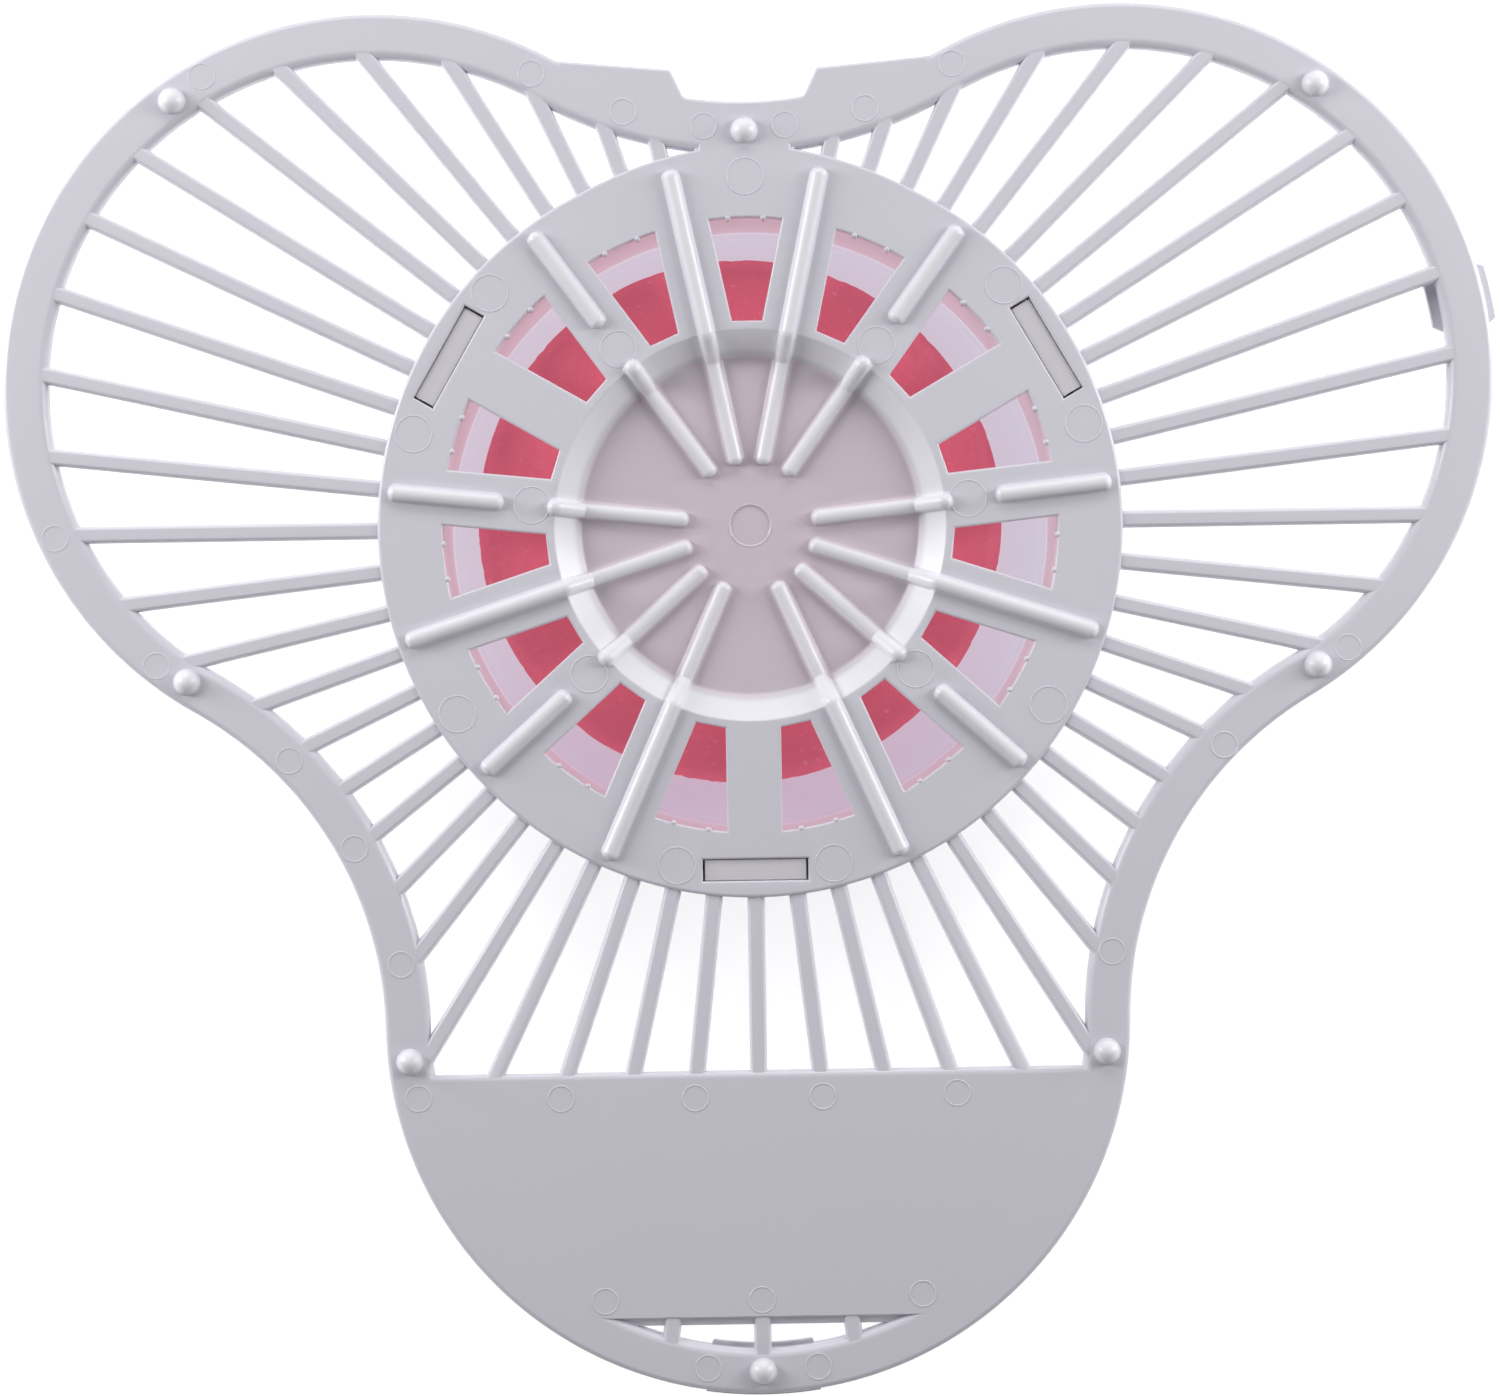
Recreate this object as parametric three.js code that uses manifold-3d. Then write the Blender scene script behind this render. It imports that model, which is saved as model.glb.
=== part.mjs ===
// Urinal deodorizer screen: a flexible moulded screen, the fragrance block it carries
// and the cage that snaps onto the hub and keeps the block in.
//
// The parts lie underside up, on the cage's flat face. The origin is the middle of that
// face, on the hub's axis. +Z points out of the screen's underside, +Y towards the notch
// in the rim and -Y towards the solid splash panel. Lengths are millimetres, angles degrees.

import * as THREE from "three";
import { mergeVertices } from "three/addons/utils/BufferGeometryUtils.js";
import Module from "manifold-3d";

// Rim: three round lobes joined by hollow waists
const LOBE_RADIUS = 50.8;
const LOBE_SPREAD = 50.8; // upper lobes' centres, out from the middle line
const LOBE_RISE = 19.6; // upper lobes' centres, above the hub's centre
const LOBE_DROP = 67.6; // lower lobe's centre, below the hub's centre
const WAIST_RADIUS = 50.8;
const RIM_WIDTH = 6.1;
const RIM_THICKNESS = 3.6;
const EDGE_ROUND = 0.7;

// Notch in the top of the rim, between two horns
const NOTCH_WIDTH = 16.3;
const NOTCH_FLARE = 1.8; // how far each side leans out
const NOTCH_DEPTH = 3.8;
const NOTCH_SILL = 0.9; // how much wider the rim is under the notch

// Splash panel across the lower lobe
const PANEL_EDGE = 74.4; // its upper edge, below the hub's centre
const PANEL_HEIGHT = 34.6;
const PANEL_THICKNESS = 2.8;

// Spokes between the hub and the rim
const SPOKE_COUNT = 56;
const SPOKE_WIDTH = 2.4;
const SPOKE_CROWN = 1.4; // width of the flat along the top
const SPOKE_DEPTH = 2.0;
const SPOKE_DROP = 0.5; // how far the spokes lie below the rim's face
const SPOKE_ROOT = 0.8; // how far a spoke reaches into the hub's edge

// Hub: a flat plate with windows round a shallow dish
const HUB_RADIUS = 50.8;
const HUB_THICKNESS = 2.2;
const HUB_WEB = 12.6; // width of the web that ties the hub to the notched rim
const HUB_WEB_FOOT = 44; // its width where it runs out on the hub's edge
const HUB_WEB_RISE = 0.8; // how far its shoulders stand beyond the hub's edge
const WINDOW_COUNT = 15;
const WINDOW_OUTER = 41.9;
const WINDOW_INNER = 27.9;
const BAR_WIDTH = 7.55;
const CHAMFER = 0.35;
const DISH_RADIUS = 26.7;
const DISH_FLOOR_RADIUS = 23.1;
const DISH_DEPTH = 3.4;
const CENTRE_MARK_RADIUS = 2.9;
const CENTRE_MARK_DEPTH = 0.15;

// Stiffening ribs along the bars, numbered each way from the notch
const RIB_WIDTH = 2.2;
const RIB_CROWN = 1.0; // width of the flat along the crest
const RIB_HEIGHT = 1.3;
const RIB_NOSE = 1.3; // rounding of each end, seen from the side
const RIB_INNER = 8.4;
const RIB_OUTER = 49.6;
const RIB_RESTART = 33.7; // where the outer piece of a broken rib begins
const WHOLE_RIB_BARS = [0, 4, 6];
const BROKEN_RIB_BARS = [1, 3, 5];

// Crush pips on each window's outer edge
const PIP_RADIUS = 0.4;
const PIP_ANGLE = 3.3;

// Feet: half balls on the middle of the rim
const FOOT_RADIUS = 1.8;
const UPPER_LOBE_FEET = [55.4, -56.6]; // angles about the right lobe's centre
const LOWER_LOBE_FEET = [-5.9, -90, -174.1];

// Pads behind the rim, one on the right lobe and one on the lower lobe. The angles are of
// a pad's middle and of half its length; the overhang is how far it stands out sideways.
const PAD_THICKNESS = 1.0;
const SIDE_PAD_ANGLE = 12;
const SIDE_PAD_HALF = 5.5;
const SIDE_PAD_OVERHANG = 1.3;
const LOWER_PAD_ANGLE = -90;
const LOWER_PAD_HALF = 9.3;
const LOWER_PAD_OVERHANG = 0.5;

// Cage over the block, with a flange that lies against the back of the hub
const CAGE_DEPTH = 22;
const CAGE_MOUTH = 42.0; // inside radius at the flange
const CAGE_DRAFT = 0.4; // how much narrower the cage is at its face
const CAGE_WALL = 1.8;
const FACE_THICKNESS = 2.0;
const FACE_ROUND = 2.5;
const FLANGE_RADIUS = 49.2;
const FLANGE_THICKNESS = 1.8;
const VENT_COUNT = 15;
const VENT_WIDTH = 3.6;
const VENT_INNER = 13;
const VENT_OUTER = 34;

// Snap tabs of the cage and the stepped slots that they hold in
const TAB_COUNT = 3;
const TAB_CIRCLE = 47.0;
const TAB_LENGTH = 13.3;
const TAB_STEM = 1.6;
const TAB_HEAD = 2.4;
const TAB_HEAD_HEIGHT = 0.7;
const TAB_CLEARANCE = 0.3;
const LEDGE_THICKNESS = 0.6;

// Fragrance block, lying loose in the cage
const BLOCK_RADIUS = 36.0;
const BLOCK_SHIFT_X = -1.4;
const BLOCK_SHIFT_Y = 0.7;
const BLOCK_EDGE = 1.4;
const BLOCK_PLAY = 0.6; // between the block and the back of the dish

const SEAT_GAP = 0.3; // between pieces that rest on each other

// Fineness of the curves
const ARC_STEP = 7.5;
const WINDOW_STEP = 4;
const ROUND_STEPS = 2;
const RIB_ROUND_STEPS = 1;
const WEB_STEPS = 4;
const LATHE_STEPS = 60;
const BALL_SIDES = 12;
const PIP_SIDES = 4;

// Levels
const hubBackZ = CAGE_DEPTH + SEAT_GAP;
const undersideZ = hubBackZ + HUB_THICKNESS;
const dishFloorZ = undersideZ - DISH_DEPTH;
const dishBackZ = dishFloorZ - HUB_THICKNESS;
const rimBackZ = undersideZ - RIM_THICKNESS;
const ledgeZ = hubBackZ + LEDGE_THICKNESS;

const hubAxis = new THREE.Vector2(0, 0);

const wasm = await Module();
wasm.setup();

const rad = THREE.MathUtils.degToRad;
const deg = THREE.MathUtils.radToDeg;

// A closed three.js geometry as a solid. Points are set on a grid of a tenth of a micrometre,
// so that faces on one level meet exactly.
function solid(geometry) {
  const bare = geometry.clone();
  bare.deleteAttribute("normal");
  bare.deleteAttribute("uv");
  const place = bare.getAttribute("position");
  for (let i = 0; i < place.array.length; i++) {
    place.array[i] = Math.round(place.array[i] * 1e4) / 1e4;
  }
  const merged = mergeVertices(bare, 1e-4);
  const corners = merged.index.array;
  const faces = [];
  for (let i = 0; i < corners.length; i += 3) {
    const [a, b, c] = [corners[i], corners[i + 1], corners[i + 2]];
    if (a !== b && b !== c && c !== a) faces.push(a, b, c);
  }
  return new wasm.Manifold(
    new wasm.Mesh({
      numProp: 3,
      vertProperties: merged.getAttribute("position").array,
      triVerts: new Uint32Array(faces),
    }),
  );
}

// A solid as a named mesh.
function meshOf(name, made, material) {
  const data = made.getMesh();
  const geometry = new THREE.BufferGeometry();
  geometry.setAttribute("position", new THREE.BufferAttribute(data.vertProperties, 3));
  geometry.setIndex(new THREE.BufferAttribute(data.triVerts, 1));
  geometry.computeVertexNormals();
  const mesh = new THREE.Mesh(geometry, material);
  mesh.name = name;
  return mesh;
}

function joined(solids) {
  return solids.reduce((whole, next) => whole.add(next));
}

// A point at an angle and a distance from a centre.
function polar(centre, radius, angle) {
  const a = rad(angle);
  return new THREE.Vector2(centre.x + radius * Math.cos(a), centre.y + radius * Math.sin(a));
}

// Points along an arc, both ends included.
function arc(centre, radius, from, to, step = ARC_STEP) {
  const count = Math.max(2, Math.round(Math.abs(to - from) / step));
  return Array.from({ length: count + 1 }, (_, i) =>
    polar(centre, radius, from + ((to - from) * i) / count),
  );
}

// A prism between two levels, with its edges rounded by `round` at both ends.
function prism(outline, bottom, top, { holes = [], round = 0 } = {}) {
  const shape = new THREE.Shape(outline);
  shape.holes = holes.map((hole) => new THREE.Path(hole));
  const geometry = new THREE.ExtrudeGeometry(shape, {
    depth: top - bottom - 2 * round,
    bevelEnabled: round > 0,
    bevelThickness: round,
    bevelSize: round,
    bevelOffset: -round,
    bevelSegments: ROUND_STEPS,
  });
  return solid(geometry.translate(0, 0, bottom + round));
}

// A section in (radius, z) turned about the hub's axis. It runs from the axis back to it.
function turned(section) {
  const points = section.map(([r, z]) => new THREE.Vector2(r, z));
  return solid(new THREE.LatheGeometry(points, LATHE_STEPS).rotateX(Math.PI / 2));
}

// A section in (across, z) drawn out along a radius from `from` to `to`. The angle is
// counted clockwise from the notch, as seen from the underside.
function radialBar(section, from, to, angle) {
  const shape = new THREE.Shape(section.map(([x, z]) => new THREE.Vector2(x, z)));
  const geometry = new THREE.ExtrudeGeometry(shape, { depth: to - from, bevelEnabled: false });
  const across = new THREE.Vector3(-1, 0, 0);
  const up = new THREE.Vector3(0, 0, 1);
  const out = new THREE.Vector3(0, 1, 0);
  geometry.translate(0, 0, from).applyMatrix4(new THREE.Matrix4().makeBasis(across, up, out));
  return solid(geometry.rotateZ(-rad(angle)));
}

// Rim

const leftLobe = new THREE.Vector2(-LOBE_SPREAD, LOBE_RISE);
const rightLobe = new THREE.Vector2(LOBE_SPREAD, LOBE_RISE);
const lowerLobe = new THREE.Vector2(0, -LOBE_DROP);

// Centre of the waist arc that touches two lobes from outside, on the far side of the hub.
function waistBetween(a, b) {
  const half = b.clone().sub(a).multiplyScalar(0.5);
  const middle = a.clone().add(half);
  const reach = Math.sqrt((LOBE_RADIUS + WAIST_RADIUS) ** 2 - half.lengthSq());
  const away = new THREE.Vector2(half.y, -half.x).normalize();
  return middle.addScaledVector(away, reach);
}

const rightWaist = waistBetween(lowerLobe, rightLobe);
const topWaist = waistBetween(rightLobe, leftLobe);
const leftWaist = waistBetween(leftLobe, lowerLobe);

function angleFrom(centre, point) {
  return deg(Math.atan2(point.y - centre.y, point.x - centre.x));
}

// An arc about one centre from the line towards `start` to the line towards `end`.
function arcBetween(centre, radius, start, end, anticlockwise) {
  const from = angleFrom(centre, start);
  let to = angleFrom(centre, end);
  if (anticlockwise && to < from) to += 360;
  if (!anticlockwise && to > from) to -= 360;
  return arc(centre, radius, from, to);
}

// The waist over the notch: a plain arc, or the horns and the notch's floor between them.
function topWaistPoints(inset, notched) {
  const radius = WAIST_RADIUS + inset;
  if (!notched) return arcBetween(topWaist, radius, rightLobe, leftLobe, false);
  const corner = NOTCH_WIDTH / 2;
  const sill = radius - NOTCH_SILL;
  const side = deg(Math.asin(corner / sill));
  const floor = arc(topWaist, sill, -90 + side, -90 - side);
  const horn = new THREE.Vector2(corner + NOTCH_FLARE, floor[0].y + NOTCH_DEPTH);
  const rightTouch = polar(topWaist, radius, angleFrom(topWaist, rightLobe));
  const mirror = (p) => new THREE.Vector2(-p.x, p.y);
  return [rightTouch, horn, ...floor, mirror(horn), mirror(rightTouch)];
}

// The trefoil, drawn in from its outer edge by `inset`.
function trefoil(inset, notched = false) {
  const lobe = LOBE_RADIUS - inset;
  const waist = WAIST_RADIUS + inset;
  const pieces = [
    arcBetween(rightLobe, lobe, rightWaist, topWaist, true),
    topWaistPoints(inset, notched),
    arcBetween(leftLobe, lobe, topWaist, leftWaist, true),
    arcBetween(leftWaist, waist, leftLobe, lowerLobe, false),
    arcBetween(lowerLobe, lobe, leftWaist, rightWaist, true),
    arcBetween(rightWaist, waist, lowerLobe, rightLobe, false),
  ];
  return pieces.flatMap((points) => points.slice(1));
}

function rim() {
  const hole = trefoil(RIM_WIDTH).reverse();
  return prism(trefoil(0, true), rimBackZ, undersideZ, { holes: [hole], round: EDGE_ROUND });
}

const rimMiddle = RIM_WIDTH / 2;

// The panel fills the lower lobe between two straight edges and leaves a lens below it.
function panel() {
  const radius = LOBE_RADIUS - rimMiddle;
  const upper = -deg(Math.asin((PANEL_EDGE - LOBE_DROP) / radius));
  const lower = -deg(Math.asin((PANEL_EDGE + PANEL_HEIGHT - LOBE_DROP) / radius));
  const outline = [
    ...arc(lowerLobe, radius, -180 - upper, -180 - lower),
    ...arc(lowerLobe, radius, lower, upper),
  ];
  return prism(outline, undersideZ - PANEL_THICKNESS, undersideZ, { round: EDGE_ROUND });
}

function feet() {
  const middle = LOBE_RADIUS - rimMiddle;
  const places = UPPER_LOBE_FEET.flatMap((angle) => [
    polar(rightLobe, middle, angle),
    polar(leftLobe, middle, 180 - angle),
  ]);
  places.push(...LOWER_LOBE_FEET.map((angle) => polar(lowerLobe, middle, angle)));
  places.push(new THREE.Vector2(0, topWaist.y - WAIST_RADIUS - rimMiddle));
  return places.map(({ x, y }) => {
    const ball = new THREE.SphereGeometry(FOOT_RADIUS, BALL_SIDES, BALL_SIDES / 2).rotateX(Math.PI / 2);
    return solid(ball.translate(x, y, undersideZ));
  });
}

// A pad on the back of the rim, wider than the rim, with its ends cut at a slant.
function pad(lobe, angle, half, overhang) {
  const outer = LOBE_RADIUS + overhang;
  const inner = LOBE_RADIUS - RIM_WIDTH - overhang;
  const slant = deg(overhang / LOBE_RADIUS);
  const outline = [
    ...arc(lobe, outer, angle - half + slant, angle + half - slant, ARC_STEP / 2),
    polar(lobe, LOBE_RADIUS - EDGE_ROUND, angle + half),
    polar(lobe, LOBE_RADIUS - RIM_WIDTH + EDGE_ROUND, angle + half),
    ...arc(lobe, inner, angle + half - slant, angle - half + slant, ARC_STEP / 2),
    polar(lobe, LOBE_RADIUS - RIM_WIDTH + EDGE_ROUND, angle - half),
    polar(lobe, LOBE_RADIUS - EDGE_ROUND, angle - half),
  ];
  return prism(outline, rimBackZ - PAD_THICKNESS, rimBackZ + EDGE_ROUND);
}

// Spokes: bars from the hub's edge, cut off at the middle of the rim all round.
function spokes() {
  const top = undersideZ - SPOKE_DROP;
  const shoulder = (SPOKE_WIDTH - SPOKE_CROWN) / 2;
  const section = [
    [-SPOKE_WIDTH / 2, top - SPOKE_DEPTH],
    [SPOKE_WIDTH / 2, top - SPOKE_DEPTH],
    [SPOKE_WIDTH / 2, top - shoulder],
    [SPOKE_CROWN / 2, top],
    [-SPOKE_CROWN / 2, top],
    [-SPOKE_WIDTH / 2, top - shoulder],
  ];
  const reach = LOBE_DROP + LOBE_RADIUS + LOBE_SPREAD;
  const bars = Array.from({ length: SPOKE_COUNT }, (_, i) =>
    radialBar(section, HUB_RADIUS - SPOKE_ROOT, reach, (360 * i) / SPOKE_COUNT),
  );
  const inside = prism(trefoil(rimMiddle), rimBackZ - 1, undersideZ + 1);
  return joined(bars).intersect(inside);
}

// Hub

const windowPitch = 360 / WINDOW_COUNT;

// How far a face set back by a thickness moves sideways at the corners of the dish's wall
function dishSetBack(thickness) {
  const slope = Math.atan2(DISH_DEPTH, DISH_RADIUS - DISH_FLOOR_RADIUS);
  return thickness * Math.tan(slope / 2);
}

function plateAndDish() {
  const back = dishSetBack(HUB_THICKNESS);
  const edge = EDGE_ROUND / 2;
  return turned([
    [0, dishBackZ],
    [DISH_FLOOR_RADIUS + back, dishBackZ],
    [DISH_RADIUS + back, hubBackZ],
    [HUB_RADIUS - edge, hubBackZ],
    [HUB_RADIUS, hubBackZ + edge],
    [HUB_RADIUS, undersideZ - edge],
    [HUB_RADIUS - edge, undersideZ],
    [DISH_RADIUS, undersideZ],
    [DISH_FLOOR_RADIUS, dishFloorZ],
    [CENTRE_MARK_RADIUS, dishFloorZ],
    [CENTRE_MARK_RADIUS, dishFloorZ - CENTRE_MARK_DEPTH],
    [0, dishFloorZ - CENTRE_MARK_DEPTH],
  ]);
}

// One window's outline, straight along its two bars, drawn out all round by `grow`.
function windowOutline(angle, grow) {
  const outer = WINDOW_OUTER + grow;
  const inner = WINDOW_INNER - grow;
  const cornerAngle = (radius) => windowPitch / 2 - deg(Math.asin((BAR_WIDTH / 2 - grow) / radius));
  const middle = 90 - angle;
  return [
    ...arc(hubAxis, outer, middle - cornerAngle(outer), middle + cornerAngle(outer), WINDOW_STEP),
    polar(hubAxis, inner, middle + cornerAngle(inner)),
    polar(hubAxis, inner, middle - cornerAngle(inner)),
  ];
}

// A hole through the hub with a chamfer at the underside.
function chamferedHole(outline, widened, bottom) {
  const through = prism(outline, bottom, undersideZ + 1);
  const shape = new THREE.Shape(widened);
  const flare = new THREE.ExtrudeGeometry(shape, {
    depth: 1,
    bevelThickness: CHAMFER,
    bevelSize: CHAMFER,
    bevelOffset: -CHAMFER,
    bevelSegments: 1,
  });
  return through.add(solid(flare.translate(0, 0, undersideZ)));
}

function windows() {
  return Array.from({ length: WINDOW_COUNT }, (_, i) =>
    chamferedHole(
      windowOutline(i * windowPitch, 0),
      windowOutline(i * windowPitch, CHAMFER),
      dishBackZ - 1,
    ),
  );
}

function pips() {
  const height = HUB_THICKNESS - CHAMFER;
  const solids = [];
  for (let i = 0; i < WINDOW_COUNT; i++) {
    for (const side of [-1, 1]) {
      const { x, y } = polar(hubAxis, WINDOW_OUTER, 90 - i * windowPitch + side * PIP_ANGLE);
      const pip = new THREE.CylinderGeometry(PIP_RADIUS, PIP_RADIUS, height, PIP_SIDES);
      solids.push(solid(pip.rotateX(Math.PI / 2).translate(x, y, hubBackZ + height / 2)));
    }
  }
  return solids;
}

// A rib's side view in (radius, z): it follows the plate, the dish's wall and its floor.
function ribProfile(inner, outer) {
  const sink = HUB_THICKNESS / 2;
  const heel = dishSetBack(sink);
  const inDish = inner < DISH_FLOOR_RADIUS;
  const onPlate = outer > DISH_RADIUS + 2 * RIB_NOSE;
  const innerZ = inDish ? dishFloorZ : undersideZ;
  const outerEnd = new THREE.Vector2(outer - RIB_NOSE, undersideZ + RIB_HEIGHT - RIB_NOSE);
  const innerEnd = new THREE.Vector2(inner + RIB_NOSE, innerZ + RIB_HEIGHT - RIB_NOSE);
  const crest = arc(outerEnd, RIB_NOSE, 0, 90, 30);
  const sole = [new THREE.Vector2(inner, innerZ - sink)];
  if (inDish) {
    const wallTop = DISH_RADIUS - dishSetBack(RIB_HEIGHT);
    const wallFoot = DISH_FLOOR_RADIUS - dishSetBack(RIB_HEIGHT);
    crest.push(new THREE.Vector2(wallTop, undersideZ + RIB_HEIGHT));
    crest.push(new THREE.Vector2(wallFoot, dishFloorZ + RIB_HEIGHT));
    sole.push(new THREE.Vector2(DISH_FLOOR_RADIUS + heel, dishFloorZ - sink));
  }
  if (inDish && onPlate) sole.push(new THREE.Vector2(DISH_RADIUS + heel, undersideZ - sink));
  crest.push(...arc(innerEnd, RIB_NOSE, 90, 180, 30));
  sole.push(new THREE.Vector2(outer, undersideZ - sink));
  return [...crest, ...sole];
}

// One piece of rib, its crest rounded across. A broken rib's inner piece ends just past the
// dish's edge.
function rib(inner, outer, angle) {
  const round = Math.min((RIB_WIDTH - RIB_CROWN) / 2, RIB_NOSE / 2);
  const geometry = new THREE.ExtrudeGeometry(new THREE.Shape(ribProfile(inner, outer)), {
    depth: RIB_WIDTH - 2 * round,
    bevelThickness: round,
    bevelSize: round,
    bevelOffset: -round,
    bevelSegments: RIB_ROUND_STEPS,
  });
  geometry.translate(0, 0, round - RIB_WIDTH / 2);
  const out = new THREE.Vector3(0, 1, 0);
  const up = new THREE.Vector3(0, 0, 1);
  const across = new THREE.Vector3(1, 0, 0);
  geometry.applyMatrix4(new THREE.Matrix4().makeBasis(out, up, across));
  return solid(geometry.rotateZ(-rad(angle)));
}

function ribs() {
  const solids = [];
  for (const side of [-1, 1]) {
    for (const bar of WHOLE_RIB_BARS) {
      solids.push(rib(RIB_INNER, RIB_OUTER, side * (bar + 0.5) * windowPitch));
    }
    for (const bar of BROKEN_RIB_BARS) {
      const angle = side * (bar + 0.5) * windowPitch;
      solids.push(rib(RIB_INNER, DISH_RADIUS + RIB_NOSE, angle));
      solids.push(rib(RIB_RESTART, RIB_OUTER, angle));
    }
  }
  return solids;
}

// The web that fills the wedge between the hub's edge and the rim under the notch. Its
// shoulders run out along the hub's edge on both sides.
function hubWeb() {
  const top = topWaist.y - WAIST_RADIUS - rimMiddle;
  const foot = HUB_WEB_FOOT / 2;
  const bottom = Math.sqrt(HUB_RADIUS ** 2 - foot ** 2) - RIM_WIDTH;
  const right = [new THREE.Vector2(foot, bottom)];
  for (let i = 0; i <= WEB_STEPS; i++) {
    const t = i / WEB_STEPS;
    const x = foot + (HUB_WEB / 2 - foot) * t;
    right.push(new THREE.Vector2(x, Math.sqrt(HUB_RADIUS ** 2 - x ** 2) + HUB_WEB_RISE * t));
  }
  right.push(new THREE.Vector2(HUB_WEB / 2, top));
  const left = right.map(({ x, y }) => new THREE.Vector2(-x, y)).reverse();
  return prism([...right, ...left], hubBackZ, undersideZ);
}

// Tabs and slots lie opposite the notch and a third of a turn each way from there.
const tabAngles = Array.from({ length: TAB_COUNT }, (_, i) => 180 + (360 * i) / TAB_COUNT);

// A rectangle across the radius at an angle, `length` long and `width` wide.
function slotOutline(angle, length, width) {
  const corners = [
    [-length / 2, TAB_CIRCLE - width / 2],
    [length / 2, TAB_CIRCLE - width / 2],
    [length / 2, TAB_CIRCLE + width / 2],
    [-length / 2, TAB_CIRCLE + width / 2],
  ];
  return corners.map(([x, y]) => new THREE.Vector2(x, y).rotateAround(hubAxis, -rad(angle)));
}

// A slot is narrow through the ledge that the tab's head holds on, and wide above it.
function slots() {
  const length = TAB_LENGTH + 2 * TAB_CLEARANCE;
  const neck = TAB_STEM + 2 * TAB_CLEARANCE;
  const pocket = TAB_HEAD + 2 * TAB_CLEARANCE;
  return tabAngles.map((angle) => {
    const outline = slotOutline(angle, length, pocket);
    const widened = slotOutline(angle, length + 2 * CHAMFER, pocket + 2 * CHAMFER);
    const narrow = prism(slotOutline(angle, length, neck), hubBackZ - 1, undersideZ);
    return chamferedHole(outline, widened, ledgeZ).add(narrow);
  });
}

function screenSolid() {
  const body = joined([plateAndDish(), hubWeb(), rim(), panel()]);
  const cut = joined([...windows(), ...slots()]);
  const added = joined([
    spokes(),
    ...ribs(),
    ...pips(),
    ...feet(),
    pad(rightLobe, SIDE_PAD_ANGLE, SIDE_PAD_HALF, SIDE_PAD_OVERHANG),
    pad(lowerLobe, LOWER_PAD_ANGLE, LOWER_PAD_HALF, LOWER_PAD_OVERHANG),
  ]);
  return body.subtract(cut).add(added);
}

// Cage

function cageShell() {
  const faceInner = CAGE_MOUTH - CAGE_DRAFT;
  const faceOuter = faceInner + CAGE_WALL;
  const flangeZ = CAGE_DEPTH - FLANGE_THICKNESS;
  const corner = new THREE.Vector2(faceOuter - FACE_ROUND, FACE_ROUND);
  return turned([
    [0, 0],
    ...arc(corner, FACE_ROUND, -90, 0, 30).map(({ x, y }) => [x, y]),
    [CAGE_MOUTH + CAGE_WALL, flangeZ - EDGE_ROUND],
    [CAGE_MOUTH + CAGE_WALL + EDGE_ROUND, flangeZ],
    [FLANGE_RADIUS, flangeZ],
    [FLANGE_RADIUS, CAGE_DEPTH],
    [CAGE_MOUTH, CAGE_DEPTH],
    [faceInner, FACE_THICKNESS],
    [0, FACE_THICKNESS],
  ]);
}

// A slot with round ends through the cage's face.
function vent(angle) {
  const half = VENT_WIDTH / 2;
  const outline = [
    ...arc(new THREE.Vector2(0, VENT_OUTER - half), half, 0, 180, 45),
    ...arc(new THREE.Vector2(0, VENT_INNER + half), half, 180, 360, 45),
  ];
  outline.forEach((point) => point.rotateAround(hubAxis, -rad(angle)));
  return prism(outline, -1, FACE_THICKNESS + 1);
}

// A tab stands on the flange, passes through the slot's neck and holds by its wider head.
function tab(angle) {
  const root = CAGE_DEPTH - FLANGE_THICKNESS / 2;
  const headBottom = ledgeZ + SEAT_GAP;
  const headTop = headBottom + TAB_HEAD_HEIGHT;
  const tip = TAB_STEM / 2;
  const profile = [
    [-TAB_STEM / 2, root],
    [TAB_STEM / 2, root],
    [TAB_STEM / 2, headBottom],
    [TAB_HEAD / 2, headBottom],
    [TAB_HEAD / 2, headBottom + TAB_HEAD_HEIGHT / 3],
    [tip, headTop],
    [-tip, headTop],
    [-TAB_HEAD / 2, headBottom + TAB_HEAD_HEIGHT / 3],
    [-TAB_HEAD / 2, headBottom],
    [-TAB_STEM / 2, headBottom],
  ];
  const shape = new THREE.Shape(profile.map(([x, z]) => new THREE.Vector2(x + TAB_CIRCLE, z)));
  const geometry = new THREE.ExtrudeGeometry(shape, { depth: TAB_LENGTH, bevelEnabled: false });
  geometry.translate(0, 0, -TAB_LENGTH / 2);
  const out = new THREE.Vector3(0, 1, 0);
  const up = new THREE.Vector3(0, 0, 1);
  const across = new THREE.Vector3(1, 0, 0);
  geometry.applyMatrix4(new THREE.Matrix4().makeBasis(out, up, across));
  return solid(geometry.rotateZ(-rad(angle)));
}

function cageSolid() {
  const vents = Array.from({ length: VENT_COUNT }, (_, i) => vent((360 * i) / VENT_COUNT));
  return cageShell()
    .subtract(joined(vents))
    .add(joined(tabAngles.map(tab)));
}

// Fragrance block: a pressed disc with chamfered edges

function blockSolid() {
  const bottom = FACE_THICKNESS + SEAT_GAP;
  const top = dishBackZ - BLOCK_PLAY;
  const disc = turned([
    [0, bottom],
    [BLOCK_RADIUS - BLOCK_EDGE, bottom],
    [BLOCK_RADIUS, bottom + BLOCK_EDGE],
    [BLOCK_RADIUS, top - BLOCK_EDGE],
    [BLOCK_RADIUS - BLOCK_EDGE, top],
    [0, top],
  ]);
  return disc.translate([BLOCK_SHIFT_X, BLOCK_SHIFT_Y, 0]);
}

const whitePlastic = new THREE.MeshStandardMaterial({
  color: 0xe6e4ec,
  roughness: 0.45,
  metalness: 0,
});
const cageTint = new THREE.MeshStandardMaterial({
  color: 0xe9dbe4,
  roughness: 0.45,
  metalness: 0,
});
const pinkBlock = new THREE.MeshStandardMaterial({
  color: 0xcf4f68,
  roughness: 0.85,
  metalness: 0,
});

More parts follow.
